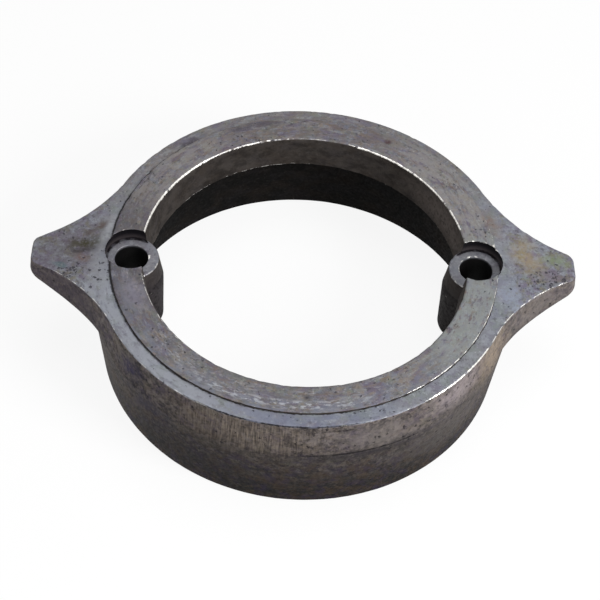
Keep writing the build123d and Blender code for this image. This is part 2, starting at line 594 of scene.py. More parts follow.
def start_group(name, inputs, outputs=("Mask",), vectors=()):
    """A node group with named sockets: its tree, its inputs and its outputs."""
    tree = bpy.data.node_groups.new(name, "ShaderNodeTree")
    for direction, sockets in (("INPUT", inputs), ("OUTPUT", outputs)):
        for socket in sockets:
            kind = "NodeSocketVector" if socket in vectors else "NodeSocketFloat"
            tree.interface.new_socket(socket, in_out=direction, socket_type=kind)
    return tree, tree.nodes.new("NodeGroupInput").outputs, tree.nodes.new("NodeGroupOutput").inputs


def use_group(tree, group, label="", **inputs):
    """The outputs of a group placed in a tree; an input's spaces are written as underscores."""
    named = {name.replace("_", " "): value for name, value in inputs.items()}
    return add_node(tree, "Group", named, node_tree=group, label=label).outputs


# Place on the casting, in millimetres and degrees about the ring's axis.
group, given, found = start_group(
    "place_on_casting", (), ("Place", "Radius", "Angle", "Height"), vectors=("Place",)
)
object_place = add_node(group, "TexCoord").outputs["Object"]
place = calculate_vector("MULTIPLY", object_place, (1 / mm, 1 / mm, 1 / mm))
parts = add_node(group, "SeparateXYZ", {0: place}).outputs
across = add_node(group, "CombineXYZ", {"X": parts["X"], "Y": parts["Y"]}).outputs[0]
bearing = calculate("DEGREES", calculate("ARCTAN2", parts["Y"], parts["X"]))
group.links.new(place, found["Place"])
group.links.new(vector_length(across), found["Radius"])
group.links.new(bearing, found["Angle"])
group.links.new(parts["Z"], found["Height"])
place_group = group

# Patches with ragged edges: their size, the share of the surface they cover, how soft they are
# and how many times longer they are round the walls than up them.
group, given, found = start_group("tarnish_patches", ("Size", "Share", "Softness", "Shift", "Flatness"))
place = use_group(group, place_group)["Place"]
flat_inputs = {"X": 1.0, "Y": 1.0, "Z": given["Flatness"]}
flatness = add_node(group, "CombineXYZ", flat_inputs).outputs[0]
patch_place = calculate_vector("MULTIPLY_ADD", place, flatness, given["Shift"])
softness = given["Softness"]
patches = cloud_mask(patch_place, given["Size"], given["Share"], softness, softness)
group.links.new(patches, found["Mask"])
patch_group = group

# Smears drawn out round the ring: their width, how many times longer they are, and their share.
smear_softness = 0.12
group, given, found = start_group("ring_smears", ("Width", "Length", "Share"))
place = use_group(group, place_group)
arc = calculate("MULTIPLY", place["Angle"], radians(ring_radius))
drawn = calculate("DIVIDE", arc, given["Length"])
smear_inputs = {"X": drawn, "Y": place["Radius"], "Z": place["Height"]}
smear_place = add_node(group, "CombineXYZ", smear_inputs).outputs[0]
smears = cloud_mask(smear_place, given["Width"], given["Share"], 0.0, smear_softness)
group.links.new(smears, found["Mask"])
smear_group = group

# Small pits: their spacing, the radius of the widest as a share of it, and how many are there.
warp_scale, warp_reach = 1.6, 1.1
torn_scale, torn_reach = 3.0, 0.7
smallest_pit = 0.35
pit_floor = 0.4
group, given, found = start_group("corrosion_pits", ("Spacing", "Radius", "Share"))
place = use_group(group, place_group)["Place"]
warp_inputs = {"Vector": place, "Scale": warp_scale, "Detail": 2.0}
warp = add_node(group, "TexNoise", warp_inputs).outputs["Color"]
warped = calculate_vector("MULTIPLY_ADD", warp, (warp_reach, warp_reach, warp_reach), place)
pit_inputs = {"Vector": warped, "Scale": calculate("DIVIDE", 1.0, given["Spacing"])}
pit_cells = add_node(group, "TexVoronoi", pit_inputs).outputs
chances = add_node(group, "SeparateColor", {0: pit_cells["Color"]}).outputs
size_share = fade(chances[1], 0.0, 1.0, bottom=smallest_pit, top=1.0)
pit_size = calculate("MULTIPLY", given["Radius"], size_share)
tear = calculate("SUBTRACT", noise_at(place, torn_scale, detail=2.0), 0.5)
torn = calculate("MULTIPLY_ADD", tear, torn_reach, pit_cells["Distance"])
inside = fade(torn, pit_size, calculate("MULTIPLY", pit_size, pit_floor))
picked = calculate("LESS_THAN", chances[0], given["Share"])
group.links.new(calculate("MULTIPLY", inside, picked), found["Mask"])
pit_group = group

# Stretch of the ring between two angles and two radii, with faded ends and sides.
stretch_sockets = ("Middle", "Half Width", "Fade", "Inner", "Outer", "Blur")
group, given, found = start_group("ring_stretch", stretch_sockets)
place = use_group(group, place_group)
turned = calculate("SUBTRACT", place["Angle"], given["Middle"])
away = calculate("ABSOLUTE", calculate("WRAP", turned, 180.0, -180.0))
far = calculate("ADD", given["Half Width"], given["Fade"])
within_angles = fade(away, far, given["Half Width"])
inner_start = calculate("SUBTRACT", given["Inner"], given["Blur"])
outer_end = calculate("ADD", given["Outer"], given["Blur"])
past_inner = fade(place["Radius"], inner_start, given["Inner"])
before_outer = fade(place["Radius"], outer_end, given["Outer"])
within_radii = calculate("MULTIPLY", past_inner, before_outer)
group.links.new(calculate("MULTIPLY", within_angles, within_radii), found["Mask"])
stretch_group = group

# Bright wear and painted highlights along the rubbed edges, in broken lengths, and dirt and painted
# shade along the dark corners.
edge_fray, corner_fray = 0.5, 0.6
worn_core, dirt_and_shade_core = 0.3, 0.4
break_softness = 0.06
group, given, found = start_group("edge_wear_corner_dirt_and_painted_light", ("Wear Reach", "Dirt Reach"), ("Wear", "Dirt"))
kept = {}
for kept_name in ("edge_distance", "edge_rub_and_highlight", "corner_distance", "corner_dirt_and_shade"):
    kept[kept_name] = add_node(group, "Attribute", attribute_name=kept_name).outputs["Fac"]
place = use_group(group, place_group)["Place"]
fray = calculate("SUBTRACT", noise_at(place, scale=1.1, detail=3.0), 0.5)
breaks = noise_at(place, scale=0.4, detail=5.0)
frayed_edge = calculate("MULTIPLY_ADD", fray, edge_fray, kept["edge_distance"])
rub_width = fade(kept["edge_rub_and_highlight"], 0.0, 1.5, bottom=0.4, top=2.6)
wear_width = calculate("MULTIPLY", given["Wear Reach"], rub_width)
near_edge = fade(frayed_edge, wear_width, calculate("MULTIPLY", wear_width, worn_core))
break_level = calculate("MULTIPLY_ADD", kept["edge_rub_and_highlight"], -0.30, 0.62)
unbroken = fade(breaks, break_level, calculate("ADD", break_level, break_softness))
worn = calculate("MULTIPLY", near_edge, unbroken)
brightness = fade(kept["edge_rub_and_highlight"], 0.0, 1.0, bottom=0.25, top=1.0)
group.links.new(calculate("MULTIPLY", worn, brightness), found["Wear"])
frayed_corner = calculate("MULTIPLY_ADD", fray, corner_fray, kept["corner_distance"])
# Dirt and painted shade spread from the corners.
dirt_and_shade_width = calculate("MULTIPLY", given["Dirt Reach"], kept["corner_dirt_and_shade"])
dirt_core = calculate("MULTIPLY", dirt_and_shade_width, dirt_and_shade_core)
near_corner = fade(frayed_corner, dirt_and_shade_width, dirt_core)
filled = fade(breaks, 0.34, 0.54, bottom=kept["corner_dirt_and_shade"], top=1.0)
group.links.new(calculate("MULTIPLY", near_corner, filled), found["Dirt"])
wear_dirt_and_light_group = group

# One blotchy mark: its centre, its half lengths along and across, and its turn about the axis.
mark_edge, mark_core = 1.3, 0.1
faintest_blotch = 0.35
group, given, found = start_group(
    "local_mark", ("Centre", "Half Size", "Turn", "Ragged"), vectors=("Centre", "Half Size")
)
place = use_group(group, place_group)["Place"]
turn = calculate("RADIANS", given["Turn"])
turn_inputs = {"Vector": place, "Center": given["Centre"], "Angle": turn}
turned = add_node(group, "VectorRotate", turn_inputs, rotation_type="Z_AXIS").outputs[0]
from_centre = calculate_vector("SUBTRACT", turned, given["Centre"])
away = vector_length(calculate_vector("DIVIDE", from_centre, given["Half Size"]))
tear = calculate("SUBTRACT", noise_at(place, scale=0.45, detail=5.0), 0.5)
torn = calculate("ADD", away, calculate("MULTIPLY", tear, given["Ragged"]))
spread = fade(torn, mark_edge, mark_core)
blotches = fade(noise_at(place, scale=0.9, detail=5.0), 0.32, 0.56, bottom=faintest_blotch, top=1.0)
group.links.new(calculate("MULTIPLY", spread, blotches), found["Mask"])
mark_group = group


def start_finish(name):
    """A new material, its tree and its Principled shader."""
    material = bpy.data.materials.new(name)
    material.use_nodes = True
    tree = material.node_tree
    return material, tree, tree.nodes["Principled BSDF"]


def patch_mask(tree, name, size, share, softness, shift, flatness=1.0):
    """A mask of tarnish patches; the shift takes them from another part of the noise."""
    inputs = {"Size": size, "Share": share, "Softness": softness, "Shift": shift, "Flatness": flatness}
    return use_group(tree, patch_group, name, **inputs)["Mask"]


def smear_mask(tree, name, width, length, share):
    """A mask of smears round the ring."""
    return use_group(tree, smear_group, name, Width=width, Length=length, Share=share)["Mask"]


def stretch_mask(tree, name, angles, radii):
    """A mask of a stretch: its middle angle, half width and fade, and its radii and their blur."""
    inputs = dict(zip(stretch_sockets, (*angles, *radii)))
    return use_group(tree, stretch_group, name, **inputs)["Mask"]


def speckled_mask(tree, name, angles, radii, speckle_size, speckle_share):
    """A mask of a stretch that is broken into speckles."""
    speckles = smear_mask(tree, name, speckle_size, length=2.5, share=speckle_share)
    return calculate("MULTIPLY", stretch_mask(tree, name, angles, radii), speckles)


def mark_mask(tree, name, centre, half_size, turn, ragged):
    """A mask of one mark: its centre, half sizes, turn and raggedness."""
    inputs = {"Centre": centre, "Half_Size": half_size, "Turn": turn, "Ragged": ragged}
    return use_group(tree, mark_group, name, **inputs)["Mask"]


def lay_tints(tree, colour, mask, rows):
    """Lay tints over a colour in turn; a row has a name, the mask's values, a tint and a strength."""
    for name, *values, tint, strength in rows:
        colour = lay_tint(colour, mask(tree, name, *values), tint, strength)
    return colour


def on_level(marks, height, depth):
    """Marks of a level face, given across it only, set at its height and through a depth."""
    level_marks = []
    for name, centre, half_size, *look in marks:
        level_marks.append((name, (*centre, height), (*half_size, depth), *look))
    return level_marks


# Bright zinc for the worn edges, which also paints their highlights.
bright_zinc_and_highlight = (0.80, 0.78, 0.74, 1.0)


def lay_edges(tree, colour, wear_reach, dirt_and_shade_reach, dirt_and_shade_colour):
    """Lay the corners' dirt and painted shade and the edges' bright wear and painted highlights: the
    colour, and the mask of the wear.
    """
    edges = use_group(tree, wear_dirt_and_light_group, Wear_Reach=wear_reach, Dirt_Reach=dirt_and_shade_reach)
    colour = lay_colour(edges["Dirt"], colour, dirt_and_shade_colour)
    return lay_colour(edges["Wear"], colour, bright_zinc_and_highlight), edges["Wear"]


def finish_surface(tree, shader, colour, metallic, roughness, relief, relief_depth, gloss):
    """Link a finish's colour, metal share, roughness and relief to its shader, and set its gloss."""
    inputs = {"Height": relief, "Distance": relief_depth, "Strength": 1.0}
    tree.links.new(colour, shader.inputs["Base Color"])
    tree.links.new(metallic, shader.inputs["Metallic"])
    tree.links.new(roughness, shader.inputs["Roughness"])
    tree.links.new(add_node(tree, "Bump", inputs).outputs["Normal"], shader.inputs["Normal"])
    shader.inputs["Specular IOR Level"].default_value = gloss


# Rubbed faces: the raised land, the rim and the lobes' tops.
lobe_middle = 72.0
lobe_top = rim_height - top_drop(lobe_middle)
lobe_mark_depth, land_mark_depth = 8.0, 3.0
whole_land = (48.0, 60.0, 1.0)
whole_rim = (59.5, 66.0, 1.0)
land_patches = (
    ("violet", 6.0, 0.42, 0.10, 7.0, (0.108, 0.089, 0.130), 0.6),
    ("green_grey", 4.0, 0.40, 0.08, 53.0, (0.134, 0.153, 0.122), 0.6),
    ("warm_grain", 1.9, 0.42, 0.08, 31.0, (0.200, 0.154, 0.116), 0.5),
    ("blue_grain", 1.5, 0.40, 0.08, 67.0, (0.142, 0.162, 0.216), 0.5),
    ("dark_grain", 1.2, 0.36, 0.07, 71.0, (0.056, 0.050, 0.058), 0.55),
    ("chalk_grain", 1.0, 0.26, 0.06, 91.0, (0.330, 0.332, 0.345), 0.5),
)
land_smears = (
    ("violet", 2.6, 3.0, 0.52, (0.098, 0.079, 0.122), 0.6),
    ("brown", 1.7, 3.6, 0.46, (0.122, 0.088, 0.066), 0.55),
    ("pale", 1.3, 4.0, 0.44, (0.250, 0.252, 0.262), 0.5),
    ("dark", 0.9, 3.0, 0.36, (0.040, 0.036, 0.042), 0.6),
)
land_stretches = (
    ("front_dull", (-116.0, 30.0, 22.0), whole_land, 1.7, 0.60, (0.088, 0.087, 0.096), 0.45),
    ("front_blue", (-115.0, 50.0, 25.0), (57.0, 60.0, 5.0), 2.4, 0.60, (0.140, 0.150, 0.190), 0.6),
    ("front_chalk", (-97.0, 12.0, 26.0), (55.2, 56.2, 1.5), 1.0, 0.54, (0.400, 0.415, 0.445), 0.6),
    ("inner_chalk", (-125.0, 12.0, 14.0), (51.5, 55.0, 2.0), 0.8, 0.42, (0.360, 0.370, 0.390), 0.35),
    ("left_dull", (178.0, 12.0, 30.0), whole_land, 2.0, 0.80, (0.058, 0.052, 0.060), 0.60),
    ("rear_brown", (88.0, 24.0, 25.0), whole_land, 2.0, 0.58, (0.112, 0.094, 0.090), 0.55),
    ("rear_right_pale", (34.0, 14.0, 20.0), whole_land, 2.0, 0.68, (0.235, 0.224, 0.218), 0.55),
    ("rear_left_pale", (140.0, 10.0, 20.0), whole_land, 2.0, 0.66, (0.225, 0.212, 0.208), 0.5),
    ("right_pale", (-17.0, 17.0, 22.0), whole_land, 2.0, 0.74, (0.220, 0.242, 0.240), 0.62),
)
rim_patches = (
    ("violet", 6.0, 0.42, 0.10, 41.0, (0.134, 0.122, 0.156), 0.65),
    ("green_grey", 4.4, 0.40, 0.08, 11.0, (0.150, 0.170, 0.158), 0.65),
    ("pale", 2.2, 0.42, 0.08, 97.0, (0.250, 0.264, 0.292), 0.45),
    ("dark_grain", 1.2, 0.28, 0.07, 79.0, (0.058, 0.054, 0.064), 0.55),
    ("chalk_grain", 1.0, 0.20, 0.06, 87.0, (0.400, 0.410, 0.430), 0.5),
)
lobe_patches = (
    ("violet", 3.6, 0.46, 0.08, 5.0, (0.122, 0.096, 0.146), 0.7),
    ("olive", 2.6, 0.40, 0.06, 37.0, (0.138, 0.128, 0.080), 0.65),
    ("pale", 2.0, 0.40, 0.07, 59.0, (0.238, 0.256, 0.296), 0.55),
    ("dark_grain", 1.2, 0.34, 0.06, 73.0, (0.056, 0.048, 0.058), 0.6),
)
rim_stretches = (
    ("left_front_pale", (-138.0, 22.0, 25.0), whole_rim, 2.4, 0.74, (0.250, 0.262, 0.295), 0.7),
    ("front_blue", (-92.0, 12.0, 16.0), whole_rim, 2.4, 0.74, (0.118, 0.130, 0.190), 0.5),
)
lobe_marks = (
    ("left_dull", (-70.0, 1.0), (16.0, 15.0), 0.0, 1.0, (0.080, 0.069, 0.083), 0.7),
    ("left_olive", (-66.4, 2.2), (7.4, 3.4), -8.0, 1.4, (0.032, 0.029, 0.016), 1.0),
    ("left_smear", (-66.8, -0.2), (5.4, 1.2), -12.0, 1.8, (0.034, 0.029, 0.032), 0.95),
    ("left_smear_rear", (-65.0, 7.4), (5.4, 1.1), -30.0, 1.8, (0.060, 0.048, 0.050), 0.8),
    ("left_red", (-66.2, -3.4), (3.0, 2.2), 30.0, 1.8, (0.112, 0.072, 0.066), 0.8),
    ("left_teal", (-73.2, -6.0), (3.4, 1.2), 20.0, 1.8, (0.060, 0.098, 0.112), 0.9),
    ("left_brown", (-61.8, 9.8), (4.6, 1.6), -50.0, 1.8, (0.082, 0.060, 0.055), 0.85),
    ("left_tip", (-79.0, -6.0), (4.6, 6.0), 0.0, 1.6, (0.092, 0.072, 0.108), 0.7),
    ("left_pale", (-61.6, -6.6), (3.0, 9.0), -10.0, 2.2, (0.262, 0.272, 0.295), 0.45),
    ("left_pale_rear", (-59.8, 7.6), (1.6, 9.0), 14.0, 1.6, (0.290, 0.300, 0.320), 0.75),
    ("right_ochre_rear", (66.6, 5.4), (4.2, 7.0), 16.0, 1.6, (0.232, 0.185, 0.108), 0.65),
    ("right_ochre", (69.4, 0.2), (4.6, 5.0), 0.0, 1.6, (0.245, 0.198, 0.120), 0.68),
    ("right_green", (76.2, 2.2), (5.0, 3.0), 0.0, 1.6, (0.150, 0.185, 0.110), 0.75),
    ("right_blue", (61.4, -12.6), (4.6, 6.0), 0.0, 1.4, (0.220, 0.245, 0.310), 0.8),
    ("right_violet", (75.5, -4.6), (8.0, 3.0), 20.0, 1.6, (0.120, 0.098, 0.118), 0.85),
    ("right_brown", (57.6, 15.6), (2.6, 7.0), -20.0, 1.6, (0.160, 0.115, 0.098), 0.8),
)
land_marks = (
    ("left_land_pale", (-50.2, -17.0), (4.2, 9.0), -19.0, 1.6, (0.205, 0.196, 0.240), 0.6),
    ("front_spot", (0.9, -53.0), (1.4, 1.3), 0.0, 2.0, (0.030, 0.028, 0.034), 1.0),
    ("rear_smudge_left", (-37.1, 46.4), (6.5, 1.9), -38.0, 2.2, (0.050, 0.044, 0.056), 0.85),
    ("rear_smudge", (-21.0, 52.6), (6.0, 1.5), -20.0, 2.2, (0.050, 0.044, 0.060), 0.85),
    ("rear_smudge_outer", (-13.0, 55.4), (7.0, 1.7), -12.0, 2.2, (0.060, 0.052, 0.070), 0.8),
    ("rear_spot", (26.4, 49.1), (1.4, 1.2), 0.0, 1.6, (0.050, 0.024, 0.026), 1.0),
)
pit_clusters = (
    ("left_front", (-70.5, -9.5), (7.5, 2.6), -35.0, 0.6, 0.5),
    ("left_root", (-62.0, -10.0), (4.6, 7.0), 0.0, 0.6, 0.3),
    ("right_inner", (70.8, -7.4), (4.6, 2.6), 24.0, 0.6, 0.65),
    ("right_outer", (75.0, -4.6), (6.4, 2.8), 16.0, 0.6, 0.8),
)
cluster_depth = 9.0
fewest_pits, more_pits = 0.12, 0.35
rear_tarnish = 0.8
worn_polish = 0.22
pit_depth = 0.9
face_finish, tree, shader = start_finish("rubbed_zinc")
place = use_group(tree, place_group)
broad_tone = patch_mask(tree, "broad_tone", size=14.0, share=0.5, softness=0.14, shift=0.0)
land_colour = lay_colour(broad_tone, (0.138, 0.133, 0.146, 1.0), (0.164, 0.153, 0.144, 1.0))
land_colour = lay_tints(tree, land_colour, patch_mask, land_patches)
land_colour = lay_tints(tree, land_colour, smear_mask, land_smears)
land_colour = lay_tints(tree, land_colour, speckled_mask, land_stretches)
rim_colour = lay_colour(broad_tone, (0.158, 0.168, 0.204, 1.0), (0.174, 0.178, 0.196, 1.0))
rim_colour = lay_tints(tree, rim_colour, patch_mask, rim_patches)
lobe_colour = lay_tints(tree, rim_colour, patch_mask, lobe_patches)
rim_colour = lay_colour(fade(place["Radius"], 60.5, 65.0), rim_colour, lobe_colour)
rear = stretch_mask(tree, "rear", angles=(92.0, 52.0, 28.0), radii=(48.0, 70.0, 1.0))
rim_colour = lay_colour(calculate("MULTIPLY", rear, rear_tarnish), rim_colour, land_colour)
rim_colour = lay_tints(tree, rim_colour, speckled_mask, rim_stretches)
on_rim = fade(place["Radius"], land_radius - 0.05, land_radius + 0.1)
colour = lay_colour(on_rim, land_colour, rim_colour)
colour = lay_tints(tree, colour, mark_mask, on_level(lobe_marks, lobe_top, lobe_mark_depth))
colour = lay_tints(tree, colour, mark_mask, on_level(land_marks, overall_height, land_mark_depth))
pitted = patch_mask(tree, "pitted", size=11.0, share=0.42, softness=0.04, shift=23.0)
pit_share = calculate("MULTIPLY_ADD", pitted, more_pits, fewest_pits)
pits = use_group(tree, pit_group, Spacing=1.35, Radius=0.36, Share=pit_share)["Mask"]
for name, centre, half_size, turn, ragged, share in on_level(pit_clusters, lobe_top, cluster_depth):
    cluster = mark_mask(tree, name, centre, half_size, turn, ragged)
    cluster_pits = use_group(tree, pit_group, Spacing=0.95, Radius=0.72, Share=share)["Mask"]
    cluster_pits = calculate("MULTIPLY", cluster_pits, fade(cluster, 0.05, 0.35))
    pits = calculate("MAXIMUM", pits, cluster_pits)
colour = lay_tint(colour, pits, (0.022, 0.021, 0.028), strength=0.9)
colour, wear = lay_edges(
    tree, colour, wear_reach=0.16, dirt_and_shade_reach=0.9, dirt_and_shade_colour=(0.008, 0.007, 0.009, 1.0)
)
metallic = fade(wear, 0.0, 1.0, bottom=0.3, top=0.95)
grain = noise_at(place["Place"], scale=1.8, detail=5.0)
dull = fade(grain, 0.25, 0.75, bottom=0.45, top=0.62)
roughness = calculate("SUBTRACT", dull, calculate("MULTIPLY", wear, worn_polish))
relief = calculate("SUBTRACT", grain, calculate("MULTIPLY", pits, pit_depth))
finish_surface(tree, shader, colour, metallic, roughness, relief, relief_depth=0.07 * mm, gloss=0.25)

# Casting skin: the outer walls of the ring and lobes, with file marks at the front. Darker tarnish
# and painted shade darken the walls from the rim down to the skirt's foot, and painted light brightens
# their top.
wall_patches = (
    ("brown", 8.0, 0.48, 0.08, 3.0, 1.8, (0.116, 0.086, 0.068), 0.6),
    ("violet", 9.0, 0.46, 0.07, 23.0, 1.8, (0.058, 0.046, 0.076), 0.7),
    ("olive", 5.0, 0.40, 0.08, 61.0, 1.8, (0.110, 0.102, 0.074), 0.55),
    ("black", 7.0, 0.38, 0.07, 89.0, 1.8, (0.020, 0.018, 0.021), 0.75),
)
wall_grain = (
    ("pink_grain", 2.2, 0.42, 0.08, 47.0, (0.235, 0.203, 0.194), 0.5),
    ("black_grain", 2.4, 0.40, 0.06, 17.0, (0.020, 0.018, 0.021), 0.6),
    ("tan_grain", 1.3, 0.36, 0.07, 51.0, (0.270, 0.225, 0.185), 0.35),
    ("dark_grain", 1.2, 0.36, 0.07, 67.0, (0.018, 0.016, 0.018), 0.6),
)
# left_flank is painted shade and right_flank is painted light, for the flanks turned away from and
# towards the key lamp on the right; right_pink and right_root_tan are pink and tan tarnish brightened
# with painted light.
wall_marks = (
    ("left_blue", (-50.0, -40.5, 32.0), (7.0, 7.0, 4.6), 0.0, 1.8, (0.034, 0.028, 0.066), 0.85),
    ("left_blue_low", (-43.0, -47.0, 22.0), (8.0, 8.0, 6.0), 0.0, 1.8, (0.034, 0.028, 0.062), 0.8),
    ("left_flank", (-70.0, -13.0, 33.0), (18.0, 11.0, 9.0), 24.0, 0.8, (0.090, 0.074, 0.090), 0.8),
    ("right_flank", (70.0, -13.0, 33.0), (18.0, 11.0, 9.0), -24.0, 0.8, (0.172, 0.153, 0.146), 0.65),
    ("right_pink", (44.0, -45.0, 34.0), (13.0, 13.0, 6.5), 0.0, 1.4, (0.305, 0.262, 0.270), 0.8),
    ("right_root_tan", (56.0, -32.0, 32.0), (9.0, 12.0, 11.0), 0.0, 1.4, (0.300, 0.240, 0.180), 0.75),
)
low_patches = (
    ("brown", 5.0, 0.46, 0.08, 103.0, (0.052, 0.033, 0.020), 0.6),
    ("violet", 4.0, 0.38, 0.07, 127.0, (0.030, 0.020, 0.044), 0.6),
    ("tan_grain", 1.6, 0.34, 0.07, 139.0, (0.098, 0.070, 0.048), 0.4),
    ("black_grain", 1.5, 0.34, 0.06, 151.0, (0.004, 0.0035, 0.005), 0.6),
)
# front_right_pale and right_low_pale are painted light on the right-hand walls, and left_low_dark is
# painted shade low on the left; the smears and the crack are stains.
low_marks = (
    ("front_right_pale", (22.0, -60.0, 32.0), (15.0, 9.0, 7.0), -20.0, 1.4, (0.225, 0.198, 0.188), 0.7),
    ("right_low_pale", (43.0, -47.0, 19.0), (21.0, 10.0, 12.0), -43.0, 1.4, (0.122, 0.108, 0.101), 0.7),
    ("left_low_dark", (-35.0, -53.0, 11.0), (24.0, 12.0, 9.0), 33.0, 1.4, (0.010, 0.008, 0.010), 0.6),
    ("front_smear", (17.0, -62.0, 25.0), (24.0, 10.0, 2.4), -15.0, 1.6, (0.020, 0.017, 0.021), 0.75),
    ("right_smear", (38.0, -49.0, 16.0), (12.0, 12.0, 4.6), 0.0, 1.8, (0.030, 0.028, 0.028), 0.4),
    ("crack", (11.5, -63.5, 36.4), (4.0, 4.0, 0.5), 10.0, 1.0, (0.012, 0.010, 0.010), 1.0),
)
strokes_per_degree, strokes_per_mm = 2.4, 0.16
stroke_strength, stroke_depth = 0.6, 0.6
wall_polish = 0.3
wall_skin_and_shade, tree, shader = start_finish("casting_skin")
place = use_group(tree, place_group)
colour = lay_tints(tree, (0.142, 0.124, 0.121, 1.0), patch_mask, wall_patches)
colour = lay_tints(tree, colour, patch_mask, wall_grain)
stroke_inputs = {
    "X": calculate("MULTIPLY", place["Angle"], strokes_per_degree),
    "Y": calculate("MULTIPLY", place["Height"], strokes_per_mm),
}
stroke_place = add_node(tree, "CombineXYZ", stroke_inputs).outputs[0]
strokes = noise_at(stroke_place, scale=1.0, detail=4.0)
filed = mark_mask(
    tree, "filed", centre=(-17.0, -62.0, 32.0), half_size=(28.0, 12.0, 11.0), turn=15.0, ragged=1.4
)
stroke_tone = fade(strokes, 0.36, 0.66)
stroke_colour = lay_colour(stroke_tone, (0.075, 0.060, 0.050, 1.0), (0.300, 0.245, 0.195, 1.0))
colour = lay_colour(calculate("MULTIPLY", filed, stroke_strength), colour, stroke_colour)
colour = lay_tints(tree, colour, mark_mask, wall_marks)
# Painted shade and light: the colour darkens towards the skirt's foot and lightens towards the rim.
low_shade = fade(place["Height"], 3.5, 22.0, bottom=0.06, top=0.64)
high_shade = fade(place["Height"], 22.0, 33.0, bottom=1.0, top=1.85)
wall_shade = calculate("MULTIPLY", low_shade, high_shade)
colour = lay_colour(1.0, colour, wall_shade, method="MULTIPLY")
low_colour = lay_tints(tree, colour, patch_mask, low_patches)
low_amount = fade(place["Height"], 27.0, 19.0, bottom=0.0, top=0.8)
colour = lay_colour(low_amount, colour, low_colour)
colour = lay_tints(tree, colour, mark_mask, low_marks)
pits = use_group(tree, pit_group, Spacing=1.7, Radius=0.40, Share=0.36)["Mask"]
colour = lay_tint(colour, pits, (0.010, 0.009, 0.012), strength=0.8)
colour, wear = lay_edges(
    tree, colour, wear_reach=0.16, dirt_and_shade_reach=1.25, dirt_and_shade_colour=(0.014, 0.012, 0.013, 1.0)
)
metallic = fade(wear, 0.0, 1.0, bottom=0.1, top=0.95)
grain = noise_at(place["Place"], scale=1.2, detail=6.0)
dull = fade(grain, 0.25, 0.75, bottom=0.55, top=0.75)
roughness = calculate("SUBTRACT", dull, calculate("MULTIPLY", wear, wall_polish))
stroke_relief = calculate("MULTIPLY", calculate("MULTIPLY", strokes, filed), stroke_depth)
relief = calculate("ADD", calculate("SUBTRACT", grain, pits), stroke_relief)
finish_surface(tree, shader, colour, metallic, roughness, relief, relief_depth=0.14 * mm, gloss=0.12)

# Dark casting skin: the bore, the skirt's hollow and the bosses' sides, with painted shade that makes
# the hollow below the throat nearly black.
hollow_patches = (
    ("brown", 9.0, 0.45, 0.12, 13.0, 1.6, (0.034, 0.026, 0.021), 0.5),
    ("violet_grey", 6.0, 0.38, 0.10, 29.0, 1.6, (0.040, 0.036, 0.040), 0.35),
    ("black", 5.0, 0.42, 0.12, 83.0, 1.6, (0.005, 0.0045, 0.005), 0.5),
    ("pale_grain", 1.4, 0.26, 0.08, 43.0, 1.6, (0.090, 0.082, 0.077), 0.3),
)
# hollow_left and hollow_right are painted shade, nearly black, at the hollow's sides.
hollow_marks = (
    ("hollow_left", (-38.0, 42.0, 17.0), (20.0, 20.0, 13.0), 0.0, 0.8, (0.002, 0.002, 0.002), 0.85),
    ("hollow_right", (34.0, 44.0, 17.0), (18.0, 18.0, 13.0), 0.0, 0.8, (0.002, 0.002, 0.002), 0.85),
    # right_bore is painted light on the bore's right side.
    ("right_bore", (44.0, 22.0, 34.0), (18.0, 24.0, 6.0), 0.0, 0.6, (0.165, 0.140, 0.128), 0.8),
    ("boss_left", (-48.0, -4.0, 22.0), (10.0, 14.0, 16.0), 0.0, 0.4, (0.072, 0.063, 0.068), 0.75),
    ("boss_right", (48.0, -4.0, 22.0), (10.0, 14.0, 16.0), 0.0, 0.4, (0.075, 0.069, 0.070), 0.8),
)
throat_band = (underside_height - 0.6, underside_height + 0.2)
hollow_skin_and_shade, tree, shader = start_finish("dark_skin_and_painted_shade")
place = use_group(tree, place_group)
above_throat = fade(place["Height"], *throat_band)
# Painted shade: below the throat the hollow's colour is nearly black, and hollow_shade darkens it
# further.
colour = lay_colour(above_throat, (0.008, 0.0075, 0.007, 1.0), (0.060, 0.052, 0.047, 1.0))
colour = lay_tints(tree, colour, patch_mask, hollow_patches)
hollow_shade = fade(place["Height"], *throat_band, bottom=0.55, top=1.0)
colour = lay_colour(1.0, colour, hollow_shade, method="MULTIPLY")
colour = lay_tints(tree, colour, mark_mask, hollow_marks)
# Bright wear and painted highlights on the throat and the bosses' waists.
wear = use_group(tree, wear_dirt_and_light_group, Wear_Reach=0.32)["Wear"]
colour = lay_colour(wear, colour, bright_zinc_and_highlight)
metallic = fade(wear, 0.0, 1.0, bottom=0.05, top=0.9)
grain = noise_at(place["Place"], scale=1.2, detail=6.0)
roughness = fade(grain, 0.25, 0.75, bottom=0.6, top=0.85)
finish_surface(tree, shader, colour, metallic, roughness, grain, relief_depth=0.14 * mm, gloss=0.06)

# Drilled metal: the bosses' tops, faced by the counterbore, its wall with painted shade growing darker
# towards the mouth, and the holes painted black with shade.
drilled_patches = (
    ("cool", 3.0, 0.45, 0.10, 19.0, (0.155, 0.162, 0.190), 0.7),
    ("violet", 2.2, 0.34, 0.08, 37.0, (0.120, 0.106, 0.136), 0.6),
    ("chalk", 1.4, 0.32, 0.07, 59.0, (0.270, 0.272, 0.290), 0.5),
    ("dark_grain", 0.9, 0.26, 0.05, 71.0, (0.050, 0.046, 0.054), 0.6),
)
drilled_marks = (
    ("right_dull", (50.0, 0.0), (11.0, 11.0), 0.0, 0.4, (0.096, 0.104, 0.114), 0.6),
)
drilled_mark_depth = 4.0
drilled_zinc_and_shade, tree, shader = start_finish("drilled_zinc")
place = use_group(tree, place_group)
height = place["Height"]
colour = lay_tints(tree, (0.175, 0.172, 0.190, 1.0), patch_mask, drilled_patches)
